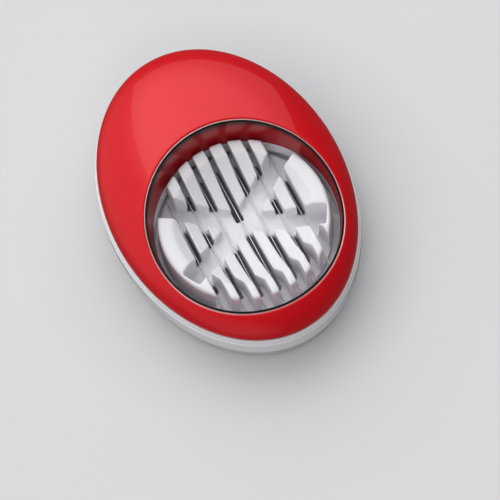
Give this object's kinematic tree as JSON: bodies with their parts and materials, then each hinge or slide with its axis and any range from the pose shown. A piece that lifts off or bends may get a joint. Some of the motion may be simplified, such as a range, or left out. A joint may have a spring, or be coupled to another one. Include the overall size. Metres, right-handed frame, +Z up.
{
  "type": "egg slicer",
  "caption": "Oval kitchen egg slicer: glossy red hinged cover with a round window and steel wires over a white slotted egg tray and base.",
  "frame": {"origin": "centre of the oval footprint on the table, under the rubber feet", "axes": "+Z up, X along the hinge, +Y towards the hinge, -Y towards the user"},
  "size_m": [0.0994, 0.1342, 0.0423],
  "materials": {
    "red_plastic": "glossy, slightly pearly",
    "white_plastic": "glossy",
    "steel": "bright drawn",
    "rubber": "matte"
  },
  "bodies": {
    "base": {"base_shell": "white_plastic", "egg_tray": "white_plastic", "tray_screws": "steel", "hinge_pin": "steel", "foot_front_left": "rubber", "foot_front_right": "rubber", "foot_rear_left": "rubber", "foot_rear_right": "rubber"},
    "lid": {"top_cover": "red_plastic", "wire_frame": "white_plastic", "slicing_wire_1": "steel", "slicing_wire_2": "steel", "slicing_wire_3": "steel", "slicing_wire_4": "steel", "slicing_wire_5": "steel", "slicing_wire_6": "steel", "slicing_wire_7": "steel", "front_wire_clamp": "white_plastic", "rear_wire_clamp": "white_plastic", "wire_clamp_screws": "steel", "cover_screws": "steel"}
  },
  "joints": [
    {"name": "lid_hinge", "type": "hinge", "parent": "base", "child": "lid", "pos_m": [0, 0.0635, 0.0165], "axis": [-1, 0, 0], "range_deg": [0, 100]}
  ]
}
